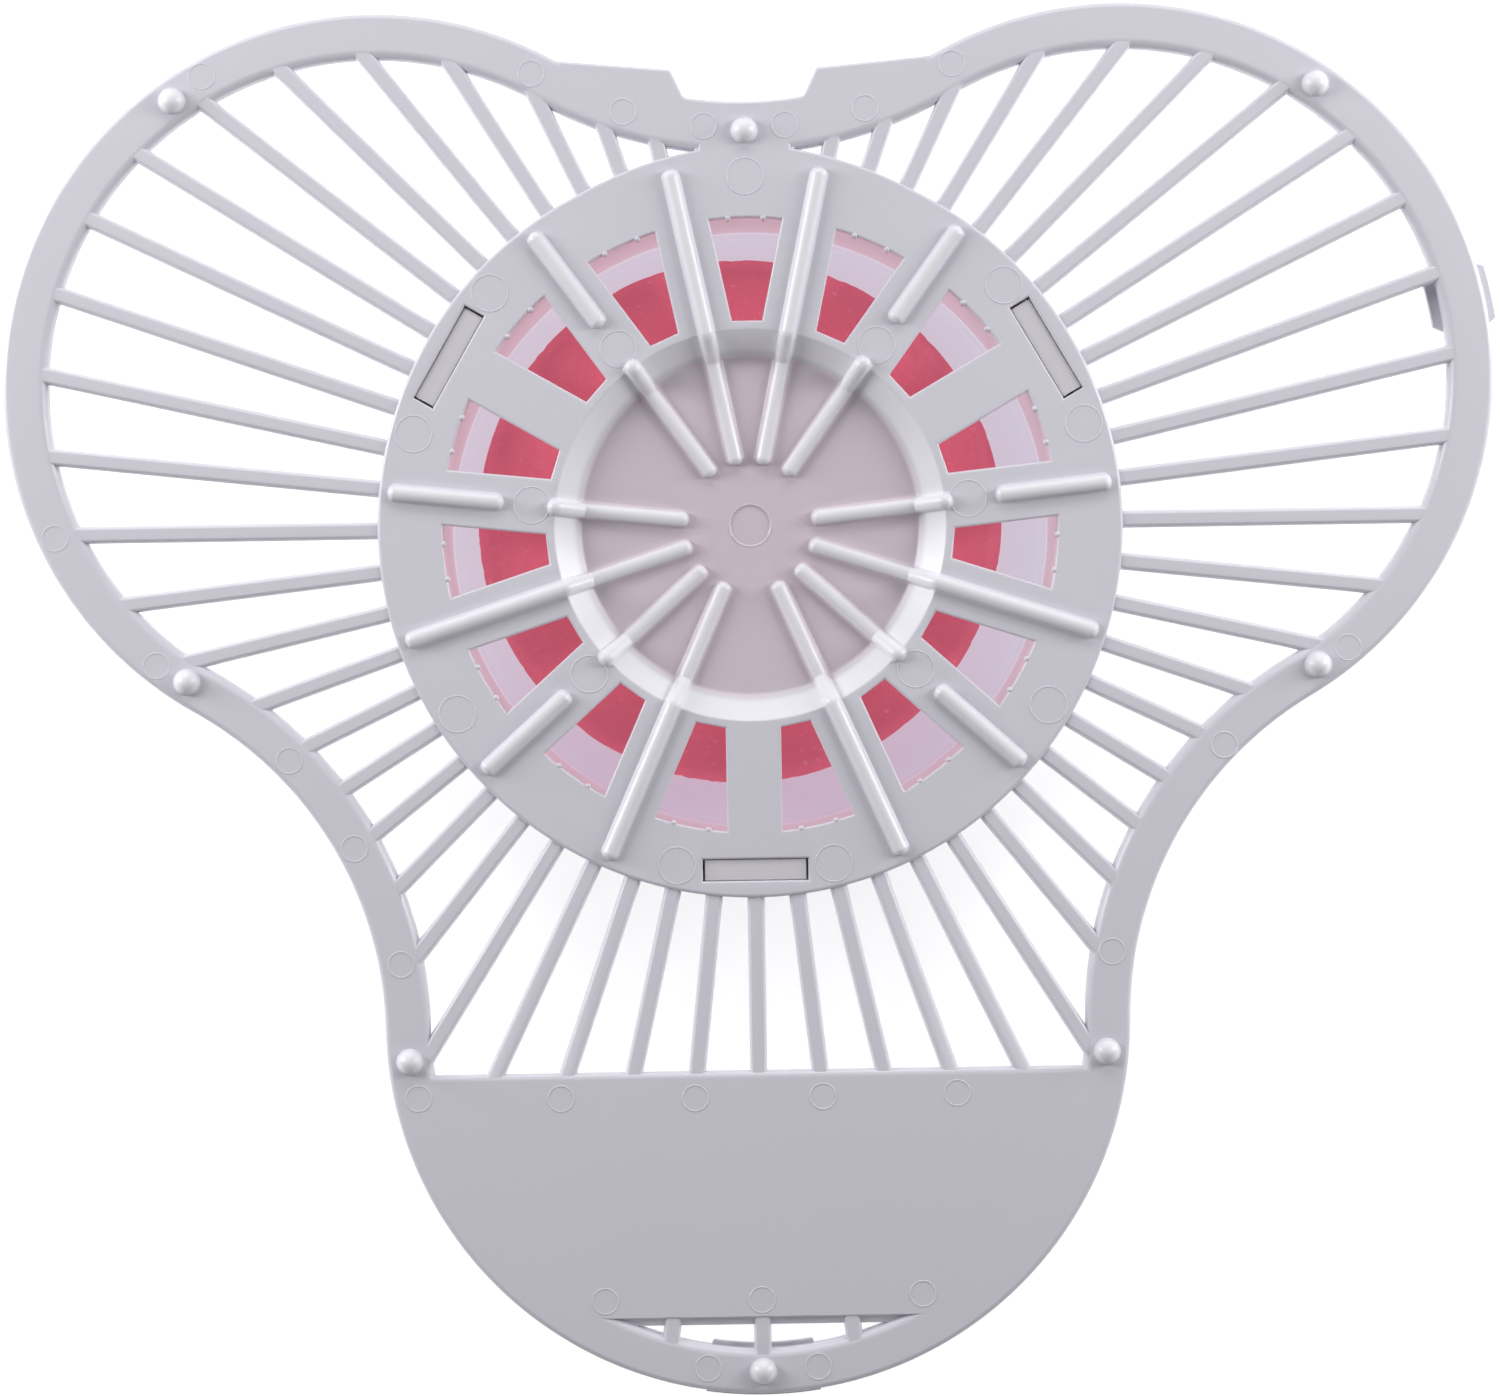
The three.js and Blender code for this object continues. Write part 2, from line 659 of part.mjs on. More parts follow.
const deodorizerScreen = new THREE.Group();
deodorizerScreen.add(
  meshOf("screen", screenSolid(), whitePlastic),
  meshOf("cage", cageSolid(), cageTint),
  meshOf("block", blockSolid(), pinkBlock),
);

export default deodorizerScreen;
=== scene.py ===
"""A urinal deodorizer screen, underside up on a white bench, as its photograph shows it.

Three pieces stand for the three solids of the frame: the flexible screen moulding, the
clip-in cage behind it and the fragrance block in the cage. Shapes are worked out in
millimetres and turned into metres where a mesh is made. The hub's axis is +Z, and +Y
points to the notch in the rim.
"""

import math

import bmesh
import bpy
import numpy as np
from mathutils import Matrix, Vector


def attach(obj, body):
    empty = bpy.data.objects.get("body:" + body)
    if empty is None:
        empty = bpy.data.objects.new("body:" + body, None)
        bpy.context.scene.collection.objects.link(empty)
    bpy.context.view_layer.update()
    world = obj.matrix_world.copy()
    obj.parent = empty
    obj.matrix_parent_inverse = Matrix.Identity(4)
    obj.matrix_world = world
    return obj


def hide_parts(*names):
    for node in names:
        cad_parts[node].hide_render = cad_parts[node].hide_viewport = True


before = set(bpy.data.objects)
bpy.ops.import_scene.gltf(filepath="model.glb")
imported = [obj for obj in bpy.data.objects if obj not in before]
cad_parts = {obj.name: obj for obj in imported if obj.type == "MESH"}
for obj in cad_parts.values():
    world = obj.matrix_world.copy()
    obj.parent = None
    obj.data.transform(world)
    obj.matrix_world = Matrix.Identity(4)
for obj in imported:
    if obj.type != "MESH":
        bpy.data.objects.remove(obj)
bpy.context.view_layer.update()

MM = 0.001
MIRROR = np.array([-1, 1])  # turns (x, y) on the right into its like on the left

# Levels
TOP = 24.5  # underside of the screen, which faces the camera
BACK = 22.3  # back of the hub plate
RIM_BACK = 20.9
PANEL_BACK = 21.7
DISH_FLOOR = 21.1
DISH_BACK = 18.9

# Rim: three lobes and three waists of one radius, as (x, y) of the lobes' centres
ARC_RADIUS = 50.8
RIGHT_LOBE = np.array([50.8, 19.6])
LEFT_LOBE = np.array([-50.8, 19.6])
LOWER_LOBE = np.array([0.0, -67.6])
RIM_WIDTH = 6.1
RIM_ROUNDS = [0.5, 0.75, 1.25, 0.5]  # outer back, outer top, inner top and inner back
RIM_STEP = 0.9  # distance between the rim's stations

# Notch between the horns
NOTCH_HALF = 8.15
NOTCH_SILL = 0.9  # how much wider the rim is under the notch
NOTCH_ROUND = 0.9
HORN_TIP = np.array([9.95, 62.2])
HORN_TIP_ROUND = 0.5
HORN_EDGE = 0.45

# Splash panel
PANEL_TOP = -74.4
PANEL_FOOT = -109.0
PANEL_EDGE = 0.95
PANEL_STEP = 1.1  # how wide the lower step along its foot is
# What the step takes away: (y from the step's edge, z from the top)
STEP_SECTION = [
    (0.25, 1), (-2.1, 1), (-2.1, -0.95), (-0.6, -0.75), (-0.15, -0.6), (0, -0.2), (0.1, -0.04),
]

# Spokes
SPOKES = 56
SPOKE_TOP = TOP - 0.5
SPOKE_DEPTH = 2.0
SPOKE_HALF = 1.2  # half the width at the shoulders
SPOKE_SHOULDER = 1.1  # how far the shoulders lie below the crown
SPOKE_CROWN = 0.92  # half the crown
SPOKE_SOLE = 0.95  # half the sole
SPOKE_ROOT = 0.9  # how far a spoke reaches into the hub
SPOKE_RISES = (0.1, 0.38)  # at the hub and at the rim

# Hub
HUB_RADIUS = 50.8
DISH_RADIUS = 26.7
DISH_FLOOR_RADIUS = 23.1
DISH_WALL = 0.85  # how far out the back of the dish's wall lies
CENTRE_MARK = 2.9
CENTRE_MARK_DEPTH = 0.14
WEB_HALF = 6.3
WEB_FOOT = 22.0  # where the web's shoulders run out on the hub's edge
WEB_BASE = 40.0
WEB_RISE = 0.8
WEB_SINK = 0.002  # keeps the web's face off the plate's
WEB_EDGE = 0.4
WINDOWS = 15
WINDOW_OUTER = 41.9
WINDOW_INNER = 27.9
BAR_HALF = 3.775
PITCH = 360 / WINDOWS
EDGE = 0.32  # rounding of the windows' and slots' edges
TURN_STEPS = 240

# Ribs, on bars that are numbered each way from the notch
RIB_HALF = 1.0
RIB_HEIGHT = 1.3
RIB_SINK = 0.7  # how far a rib reaches into what carries it
RIB_CREST = 0.8  # height of its round crest, as a share of its half width
RIB_TIP = 0.12  # share of the section that is left at its very ends
RIB_INNER = 8.4
RIB_OUTER = 49.6
RIB_BREAK = DISH_RADIUS + 1.1
RIB_RESTART = 33.7
WHOLE_BARS = (0, 4, 6)
BROKEN_BARS = (1, 3, 5)
# A rib's hollow foot: (distance out from its side, height)
RIB_FOOT = np.array([(0.45, -0.05), (0.2, 0.07), (0.06, 0.24)])

# Crush pips, and feet as angles about their lobe's centre
PIP_ANGLE = 3.3  # each way from a window's middle
PIP_CIRCLE = WINDOW_OUTER + 0.02
PIP_RADIUS = 0.42
PIP_DROP = 0.3
FOOT_RADIUS = 1.75
FOOT_HEIGHT = 1.8
FOOT_HOLLOW = 0.25
DOME_SINK = BACK + 0.1  # level that balls are carried down to
UPPER_FEET = (55.4, -56.6)
LOWER_FEET = (-5.9, -90, -174.1)

# Pads behind the rim: lobe, angle of the middle, half the angle and overhang
PADS = ((RIGHT_LOBE, 12, 5.5, 1.3), (LOWER_LOBE, -90, 9.3, 0.5))
PAD_THICKNESS = 1.0
PAD_NARROWING = 0.7  # how far inside the rim's edges the ends come in
PAD_SINK = 0.7  # how far a pad reaches into the rim
PAD_EDGE = 0.2

# Rings left by the mould's pins
RING_SECTION = [(0.3, -0.2), (0.06, 0.06), (-0.06, 0.06), (-0.3, -0.2)]
RING_STEPS = 40
HUB_RING = 2.5
RIM_RING = 1.75
HUB_PINS = np.array([0, 47.5, -47.5, 74, -74, 122, -122, 167, -167], float)
HUB_PIN_CIRCLE = 47.5
BAR_PINS = np.array([36, -36, 84, -84, 132, -132], float)
BAR_PIN_CIRCLE = 29.9
RIM_PINS = [
    (-28.9, 61.9), (28.4, 62.4), (-16.5, 56.5), (16.5, 56.5), (-5.5, 54.4), (5.5, 54.4),
    (-73.8, 62.2), (-94.7, -0.4), (-81.2, -18.0), (81.2, -18.0), (-63.3, -31.2),
    (64.1, -31.0), (-54.6, -43.3), (-48.5, -59.2), (48.4, -58.9), (-46.4, -77.5),
    (-27.0, -77.8), (27.0, -77.8), (-8.7, -78.0), (8.7, -78.0), (-21.4, -105.5),
    (21.9, -105.1), (0.0, -105.6), (-7.5, -114.8), (7.5, -114.8),
]

# Cage
CAGE_DEPTH = 22.0
CAGE_MOUTH = 42.0
CAGE_DRAFT = 0.4  # how much narrower it is at its face
CAGE_WALL = 1.8
FACE_THICKNESS = 2.0
FLANGE_RADIUS = 49.2
FLANGE_THICKNESS = 1.8
VENT_HALF = 1.8
VENT_INNER = 13.0
VENT_OUTER = 34.0
VENT_LEVELS = [(0.4, -1.0), (0.4, 0.0), (0.12, 0.12), (0.0, 0.4), (0.0, 3.0)]

# Clip tabs and their stepped slots
TAB_ANGLES = (60.0, 180.0, 300.0)
TAB_CIRCLE = 47.0
TAB_LENGTH = 13.8
TAB_STEM = 0.8  # half its thickness
TAB_HEAD = 1.44  # half its thickness
TAB_HOOK = BACK + 0.9  # level of the head's underside
TAB_TIP = BACK + 1.75
TAB_ROOT = CAGE_DEPTH - 0.9
SLOT_LENGTH = TAB_LENGTH + 0.6
POCKET_WIDTH = 3.0
NECK_WIDTH = 2.2
LEDGE_THICKNESS = 0.6

# Fragrance block
BLOCK_RADIUS = 36.0
BLOCK_CENTRE = (-1.4, 0.7)
BLOCK_BOTTOM = 2.3
BLOCK_TOP = 18.3
BLOCK_EDGE = 1.4
BLOCK_RINGS = 46
BLOCK_TURN_STEPS = 360
BLOCK_MIDDLE = 10.0  # a level between its two faces
BUMP_LIMIT = 0.12
CHIP_REACH = 2.0  # how far in from the edge chips reach
GRAIN_WAVES = 60

# Edges that turn by more degrees than this are shaded as true creases
CREASE = 32
BLOCK_CREASE = 50


# Meshes


def shell(grid, looped=False):
    """Closed solids from a grid (copies, stations, points of a ring, xyz).

    Each ring is joined to the next one. The end rings are capped with flat faces, or
    joined to each other where the grid is looped.
    """
    grid = np.asarray(grid, float)
    if grid.ndim == 3:
        grid = grid[None]
    copies, stations, ring, _ = grid.shape
    index = np.arange(copies * stations * ring).reshape(copies, stations, ring)
    before = index if looped else index[:, :-1]
    after = np.roll(index, -1, axis=1) if looped else index[:, 1:]
    corners = [before, np.roll(before, -1, axis=2), np.roll(after, -1, axis=2), after]
    faces = np.stack(corners, axis=-1).reshape(-1, 4).tolist()
    if not looped:
        faces += index[:, 0, ::-1].tolist() + index[:, -1].tolist()
    return grid.reshape(-1, 3), faces


def solid(name, *shells):
    """One mesh object of several closed shells, with its faces pointing out."""
    points, faces, offset = [], [], 0
    for verts, polys in shells:
        points.append(verts)
        faces += [[i + offset for i in poly] for poly in polys]
        offset += len(verts)
    mesh = bpy.data.meshes.new(name)
    mesh.from_pydata((np.concatenate(points) * MM).tolist(), [], faces)
    work = bmesh.new()
    work.from_mesh(mesh)
    bmesh.ops.recalc_face_normals(work, faces=work.faces)
    work.to_mesh(mesh)
    work.free()
    piece = bpy.data.objects.new(name, mesh)
    bpy.context.scene.collection.objects.link(piece)
    return piece


def combine(piece, operation, other):
    """Joins another solid to a piece (UNION) or cuts it away (DIFFERENCE)."""
    modifier = piece.modifiers.new("combine", "BOOLEAN")
    modifier.solver = "MANIFOLD"
    modifier.operation = operation
    modifier.object = other
    bpy.context.view_layer.update()
    depsgraph = bpy.context.evaluated_depsgraph_get()
    made = bpy.data.meshes.new_from_object(piece.evaluated_get(depsgraph))
    piece.modifiers.clear()
    piece.data = made
    bpy.data.objects.remove(other)


def join(piece, *shells):
    """Adds shells to a piece as one body."""
    combine(piece, "UNION", solid("joined", *shells))


def cut(piece, *shells):
    """Takes shells away from a piece."""
    combine(piece, "DIFFERENCE", solid("cutter", *shells))


def finished(piece, crease):
    """Smooth shading with true creases, where broad flats keep their own normals."""
    mesh = piece.data
    work = bmesh.new()
    work.from_mesh(mesh)
    bmesh.ops.remove_doubles(work, verts=work.verts, dist=2e-7)
    bmesh.ops.dissolve_degenerate(work, edges=work.edges, dist=1e-7)
    work.to_mesh(mesh)
    work.free()
    mesh.shade_smooth()
    mesh.set_sharp_from_angle(angle=math.radians(crease))
    weighted = piece.modifiers.new("weighted", "WEIGHTED_NORMAL")
    weighted.keep_sharp = True
    weighted.weight = 80
    return piece


# Outlines and sections


def fillet(points, radii, steps=5, closed=False):
    """A polyline whose corners are rounded by arcs that touch both neighbours.

    At a corner with opening angle w, the arc of radius r starts r / tan(w / 2) before it.
    A round that has no room shrinks, so that it takes up less than half of each side.
    """
    points = [np.asarray(p, float) for p in points]
    out = []
    for i, (corner, radius) in enumerate(zip(points, radii)):
        if radius <= 0 or (not closed and i in (0, len(points) - 1)):
            out.append(corner)
            continue
        back = points[i - 1] - corner
        ahead = points[(i + 1) % len(points)] - corner
        back_length, ahead_length = np.linalg.norm(back), np.linalg.norm(ahead)
        back, ahead = back / back_length, ahead / ahead_length
        opening = math.acos(float(np.clip(back @ ahead, -1, 1)))
        reach = min(radius / math.tan(opening / 2), 0.49 * back_length, 0.49 * ahead_length)
        radius = reach * math.tan(opening / 2)
        middle = (back + ahead) / np.linalg.norm(back + ahead)
        centre = corner + middle * radius / math.sin(opening / 2)
        start, end = corner + back * reach - centre, corner + ahead * reach - centre
        sweep = math.atan2(start[0] * end[1] - start[1] * end[0], float(start @ end))
        for t in np.linspace(0, sweep, steps + 1):
            c, s = math.cos(t), math.sin(t)
            turned = np.array([c * start[0] - s * start[1], s * start[0] + c * start[1]])
            out.append(centre + turned)
    return np.array(out)


def direction(angle):
    """The unit vector at an angle in degrees, counted clockwise from the notch."""
    a = np.radians(angle)
    return np.stack([np.sin(a), np.cos(a)], axis=-1)


def radial(angle):
    """The way out from the axis at an angle, and the way across it, clockwise."""
    way = direction(angle)
    return way, np.array([way[1], -way[0]])


def on_circle(centre, radius, degrees):
    """A point on a circle, at an angle that counts anticlockwise from +X."""
    turn = np.radians(degrees)
    return centre + radius * np.array([math.cos(turn), math.sin(turn)])


def revolve(profile, centre=(0.0, 0.0), steps=TURN_STEPS):
    """Rings of a profile (radius, z) turned about an upright axis through the centre."""
    profile = np.asarray(profile, float)
    around = direction(np.arange(steps) * 360 / steps)
    grid = np.empty((len(profile), steps, 3))
    grid[..., :2] = profile[:, 0, None, None] * around + np.asarray(centre)
    grid[..., 2] = profile[:, 1, None]
    return grid


def stacked(outline_at, levels):
    """Rings of an outline that grows from level to level: outline_at(grow) at each z."""
    rings = []
    for grow, z in levels:
        outline = outline_at(grow)
        rings.append(np.column_stack([outline, np.full(len(outline), z)]))
    return np.array(rings)


def flare(edge, top, bottom, steps=4):
    """Levels of a cutter that leaves a rounded edge at the top of its hole.

    The hole widens by edge * (1 - cos t) while it rises by edge * sin t.
    """
    t = np.linspace(0, math.pi / 2, steps + 1)
    rounded = np.column_stack([edge * (1 - np.cos(t)), top - edge + edge * np.sin(t)])
    return [(0.0, bottom), *map(tuple, rounded), (edge, top + 1.0)]


def pillow(edge, top, bottom, steps=4):
    """Levels of a plate with both edges rounded: it shrinks by edge * (1 - sin t)."""
    t = np.linspace(0, math.pi / 2, steps + 1)
    lower = np.column_stack([-edge * (1 - np.sin(t)), bottom + edge * (1 - np.cos(t))])
    upper = np.column_stack([-edge * (1 - np.cos(t)), top - edge * (1 - np.sin(t))])
    return [*map(tuple, lower), *map(tuple, upper)]


def grown(outline, grow):
    """A closed anticlockwise outline moved out by grow, each corner along its mitre."""
    ahead = np.roll(outline, -1, axis=0) - outline
    ahead /= np.linalg.norm(ahead, axis=1)[:, None]
    normal = np.column_stack([ahead[:, 1], -ahead[:, 0]])
    before = np.roll(normal, 1, axis=0)
    mitre = (normal + before) / (1 + (normal * before).sum(axis=1))[:, None]
    return outline + grow * mitre


def plate(outline, levels):
    """A plate: one outline at several levels, grown or shrunk as each level says."""
    return shell(stacked(lambda grow: grown(outline, grow), levels))


# Rim


def waist_between(a, b):
    """Centre of the waist arc that touches lobes a and b, beyond the line that joins them."""
    half = (b - a) / 2
    reach = math.sqrt((2 * ARC_RADIUS) ** 2 - half @ half)
    away = np.array([half[1], -half[0]]) / np.linalg.norm(half)
    return a + half + away * reach


RIGHT_WAIST = waist_between(LOWER_LOBE, RIGHT_LOBE)
TOP_WAIST = waist_between(RIGHT_LOBE, LEFT_LOBE)
LEFT_WAIST = waist_between(LEFT_LOBE, LOWER_LOBE)


def trefoil_stations():
    """Centre, unit direction and sense of each station along the rim.

    A station's point at a distance u in from the outer edge is centre + (R - sense * u)
    times its direction: the sense is 1 on a lobe and -1 on a waist.
    """
    arcs = [
        (RIGHT_LOBE, RIGHT_WAIST, TOP_WAIST, 1),
        (TOP_WAIST, RIGHT_LOBE, LEFT_LOBE, -1),
        (LEFT_LOBE, TOP_WAIST, LEFT_WAIST, 1),
        (LEFT_WAIST, LEFT_LOBE, LOWER_LOBE, -1),
        (LOWER_LOBE, LEFT_WAIST, RIGHT_WAIST, 1),
        (RIGHT_WAIST, LOWER_LOBE, RIGHT_LOBE, -1),
    ]
    centres, directions, senses = [], [], []
    for centre, start, end, sense in arcs:
        first = math.atan2(*(start - centre)[::-1])
        last = math.atan2(*(end - centre)[::-1])
        sweep = sense * ((sense * (last - first)) % (2 * math.pi))
        count = int(round(abs(sweep) * ARC_RADIUS / RIM_STEP))
        angle = first + sweep * np.arange(count) / count
        centres.append(np.broadcast_to(centre, (count, 2)))
        directions.append(np.column_stack([np.cos(angle), np.sin(angle)]))
        senses.append(np.full(count, sense))
    return np.concatenate(centres), np.concatenate(directions), np.concatenate(senses)


def rim():
    """The rim: a flat bar with rounded edges carried round the trefoil."""
    corners = [(0, RIM_BACK), (0, TOP), (RIM_WIDTH, TOP), (RIM_WIDTH, RIM_BACK)]
    section = fillet(corners, RIM_ROUNDS, closed=True)
    centre, way, sense = trefoil_stations()
    radius = ARC_RADIUS - sense[:, None] * section[None, :, 0]
    grid = np.empty((len(centre), len(section), 3))
    grid[..., :2] = centre[:, None] + radius[..., None] * way[:, None]
    grid[..., 2] = section[None, :, 1]
    return shell(grid, looped=True)


def horns():
    """The horns beside the notch and the sill between them: one plate over the waist.

    The sill's edge and the plate's hidden back edge are arcs about the waist's centre.
    """
    def waist_arc(radius, half, count):
        turn = np.linspace(1, -1, count) * math.asin(half / radius)
        return TOP_WAIST + radius * np.column_stack([np.sin(turn), -np.cos(turn)])

    touch = (TOP_WAIST + RIGHT_LOBE) / 2
    sill = waist_arc(ARC_RADIUS - NOTCH_SILL, NOTCH_HALF, 9)
    back = waist_arc(ARC_RADIUS + RIM_WIDTH / 2, touch[0], 25)[::-1]
    outline = [touch, HORN_TIP, *sill, HORN_TIP * MIRROR, touch * MIRROR, *back]
    rounds = np.zeros(len(outline))
    rounds[[1, len(sill) + 2]] = HORN_TIP_ROUND
    rounds[[2, len(sill) + 1]] = NOTCH_ROUND
    return plate(fillet(outline, rounds, closed=True), pillow(HORN_EDGE, TOP, RIM_BACK))


def panel():
    """The splash panel: a plate between two straight edges, inside the lower lobe.

    Its sides follow the middle of the rim, at the angles where sin a is y / radius.
    """
    radius = ARC_RADIUS - RIM_WIDTH / 2
    upper = math.asin((PANEL_TOP - LOWER_LOBE[1]) / radius)
    lower = math.asin((PANEL_FOOT - LOWER_LOBE[1]) / radius)
    side = np.linspace(lower, upper, 40)
    right = LOWER_LOBE + radius * np.column_stack([np.cos(side), np.sin(side)])
    outline = np.concatenate([right, right[::-1] * MIRROR])
    piece = solid("panel", plate(outline, pillow(PANEL_EDGE, TOP, PANEL_BACK)))
    section = np.array(STEP_SECTION) + (PANEL_FOOT + PANEL_STEP, TOP)
    cut(piece, shell([[(x, y, z) for y, z in section] for x in (-ARC_RADIUS, ARC_RADIUS)]))
    return piece


def trefoil_reach(ways, inset):
    """How far along each way from the hub's axis the trefoil lies, drawn in by inset.

    The reach is read between the rim's stations, by their bearings from the axis.
    """
    centre, way, sense = trefoil_stations()
    edge = centre + (ARC_RADIUS - sense * inset)[:, None] * way
    bearing = np.arctan2(edge[:, 0], edge[:, 1])
    order = np.argsort(bearing)
    reach = np.linalg.norm(edge, axis=1)
    wanted = np.arctan2(ways[:, 0], ways[:, 1])
    return np.interp(wanted, bearing[order], reach[order], period=2 * math.pi)


def spokes():
    """Spokes with a flat crown and round shoulders, from the hub's edge into the rim.

    They rise a little on their way out, so that their ends lie over the rim's bevel.
    """
    sole, shoulder = SPOKE_TOP - SPOKE_DEPTH, SPOKE_TOP - SPOKE_SHOULDER
    corners = [
        (-SPOKE_SOLE, sole), (SPOKE_SOLE, sole), (SPOKE_HALF, shoulder),
        (SPOKE_CROWN, SPOKE_TOP), (-SPOKE_CROWN, SPOKE_TOP), (-SPOKE_HALF, shoulder),
    ]
    section = fillet(corners, [0.25, 0.25, 0.5, 0.42, 0.42, 0.5], steps=4, closed=True)
    ways = direction(np.arange(SPOKES) * 360 / SPOKES)
    across = np.column_stack([ways[:, 1], -ways[:, 0]])
    near = np.full(SPOKES, HUB_RADIUS - SPOKE_ROOT)
    far = trefoil_reach(ways, RIM_WIDTH / 2)
    grid = np.empty((SPOKES, 2, len(section), 3))
    for station, (reach, rise) in enumerate(zip((near, far), SPOKE_RISES)):
        along = (ways * reach[:, None])[:, None]
        grid[:, station, :, :2] = along + section[None, :, :1] * across[:, None]
        grid[:, station, :, 2] = section[:, 1] + rise
    return shell(grid)


# Hub


def hub_plate():
    """The hub: a plate round a shallow dish, with its corners rounded."""
    profile = [
        (CENTRE_MARK - 0.3, DISH_FLOOR - CENTRE_MARK_DEPTH),
        (CENTRE_MARK, DISH_FLOOR),
        (DISH_FLOOR_RADIUS, DISH_FLOOR),
        (DISH_RADIUS, TOP),
        (HUB_RADIUS, TOP),
        (HUB_RADIUS, BACK),
        (DISH_RADIUS + DISH_WALL, BACK),
        (DISH_FLOOR_RADIUS + DISH_WALL, DISH_BACK),
        (1.0, DISH_BACK),
    ]
    return shell(revolve(fillet(profile, [0, 0.12, 0.7, 0.45, 0.5, 0.35, 0.3, 0.4, 0])))


def web():
    """The web that ties the hub's edge to the rim, with shoulders along the hub's edge.

    At t from a shoulder's foot to the web, its edge lies WEB_RISE * t beyond the hub.
    """
    top = TOP_WAIST[1] - ARC_RADIUS - RIM_WIDTH / 2
    t = np.linspace(0, 1, 9)
    x = WEB_FOOT + (WEB_HALF - WEB_FOOT) * t
    shoulder = np.column_stack([x, np.sqrt(HUB_RADIUS**2 - x * x) + WEB_RISE * t])
    right = np.array([(WEB_FOOT, WEB_BASE), *shoulder, (WEB_HALF, top)])
    outline = np.concatenate([right, right[::-1] * MIRROR])
    return plate(outline, pillow(WEB_EDGE, TOP - WEB_SINK, BACK))


def windows():
    """Cutters of the windows, which leave a small rounded edge on the underside.

    A window has an arc outside, a chord inside and two edges parallel to its bars. A
    corner on a circle lies asin(half / radius) short of the bar's own angle.
    """
    def outline_at(angle, grow):
        half = BAR_HALF - grow
        outer, inner = WINDOW_OUTER + grow, WINDOW_INNER - grow
        wide = PITCH / 2 - math.degrees(math.asin(half / outer))
        narrow = PITCH / 2 - math.degrees(math.asin(half / inner))
        arc = outer * direction(angle + np.linspace(-wide, wide, 17))
        chord = inner * direction(angle + np.array([narrow, -narrow]))
        return np.concatenate([arc, chord])[::-1]

    levels = flare(EDGE, TOP, DISH_BACK - 1)
    angles = np.arange(WINDOWS) * PITCH
    return [shell(stacked(lambda grow: outline_at(angle, grow), levels)) for angle in angles]


def slots(width, levels):
    """Cutters of the slots at one width: boxes across the radius, grown level by level."""
    corners = np.array([(-1, -1), (1, -1), (1, 1), (-1, 1)], float)
    half = np.array([SLOT_LENGTH, width]) / 2
    made = []
    for angle in TAB_ANGLES:
        way, across = radial(angle)

        def outline_at(grow):
            local = corners * (half + grow)
            return way * TAB_CIRCLE + local[:, :1] * across + local[:, 1:] * way

        made.append(shell(stacked(outline_at, levels)))
    return made


def domes(places, radius, base, height, sides=28, rings=8, hollow=0.0):
    """Half balls: at t the ring's radius is radius * cos t and it rises height * sin t.

    A hollow adds a small curve where the ball leaves its flat: it comes in by
    hollow * (1 - s) squared as it rises by hollow * s squared. Each ball is carried down
    into the plate.
    """
    t = np.linspace(0, math.pi / 2 * 0.97, rings)
    profile = np.column_stack([radius * np.cos(t), base + height * np.sin(t)])
    if hollow:
        s = np.linspace(0, 1, 4)[:-1]
        curve = np.column_stack([radius + hollow * (1 - s) ** 2, base - 0.02 + hollow * s**2])
        profile = np.concatenate([curve, profile[1:]])
    profile = np.concatenate([[(profile[0, 0], DOME_SINK)], profile])
    return [shell(revolve(profile, place, sides)) for place in places]


def pips():
    """Crush pips on each window's outer edge, with round heads."""
    middles = np.arange(WINDOWS) * PITCH
    angles = np.concatenate([middles - PIP_ANGLE, middles + PIP_ANGLE])
    places = PIP_CIRCLE * direction(angles)
    return domes(places, PIP_RADIUS, TOP - PIP_DROP, PIP_RADIUS, sides=12, rings=5)


def rib_path(inner, outer):
    """The line that a rib follows in (radius, z): dish floor, dish wall and plate."""
    if inner > DISH_RADIUS:
        return np.array([(inner, TOP), (outer, TOP)])
    floor = [(inner, DISH_FLOOR), (DISH_FLOOR_RADIUS, DISH_FLOOR)]
    return fillet([*floor, (DISH_RADIUS, TOP), (outer, TOP)], [0, 0.6, 0.6, 0], steps=4)


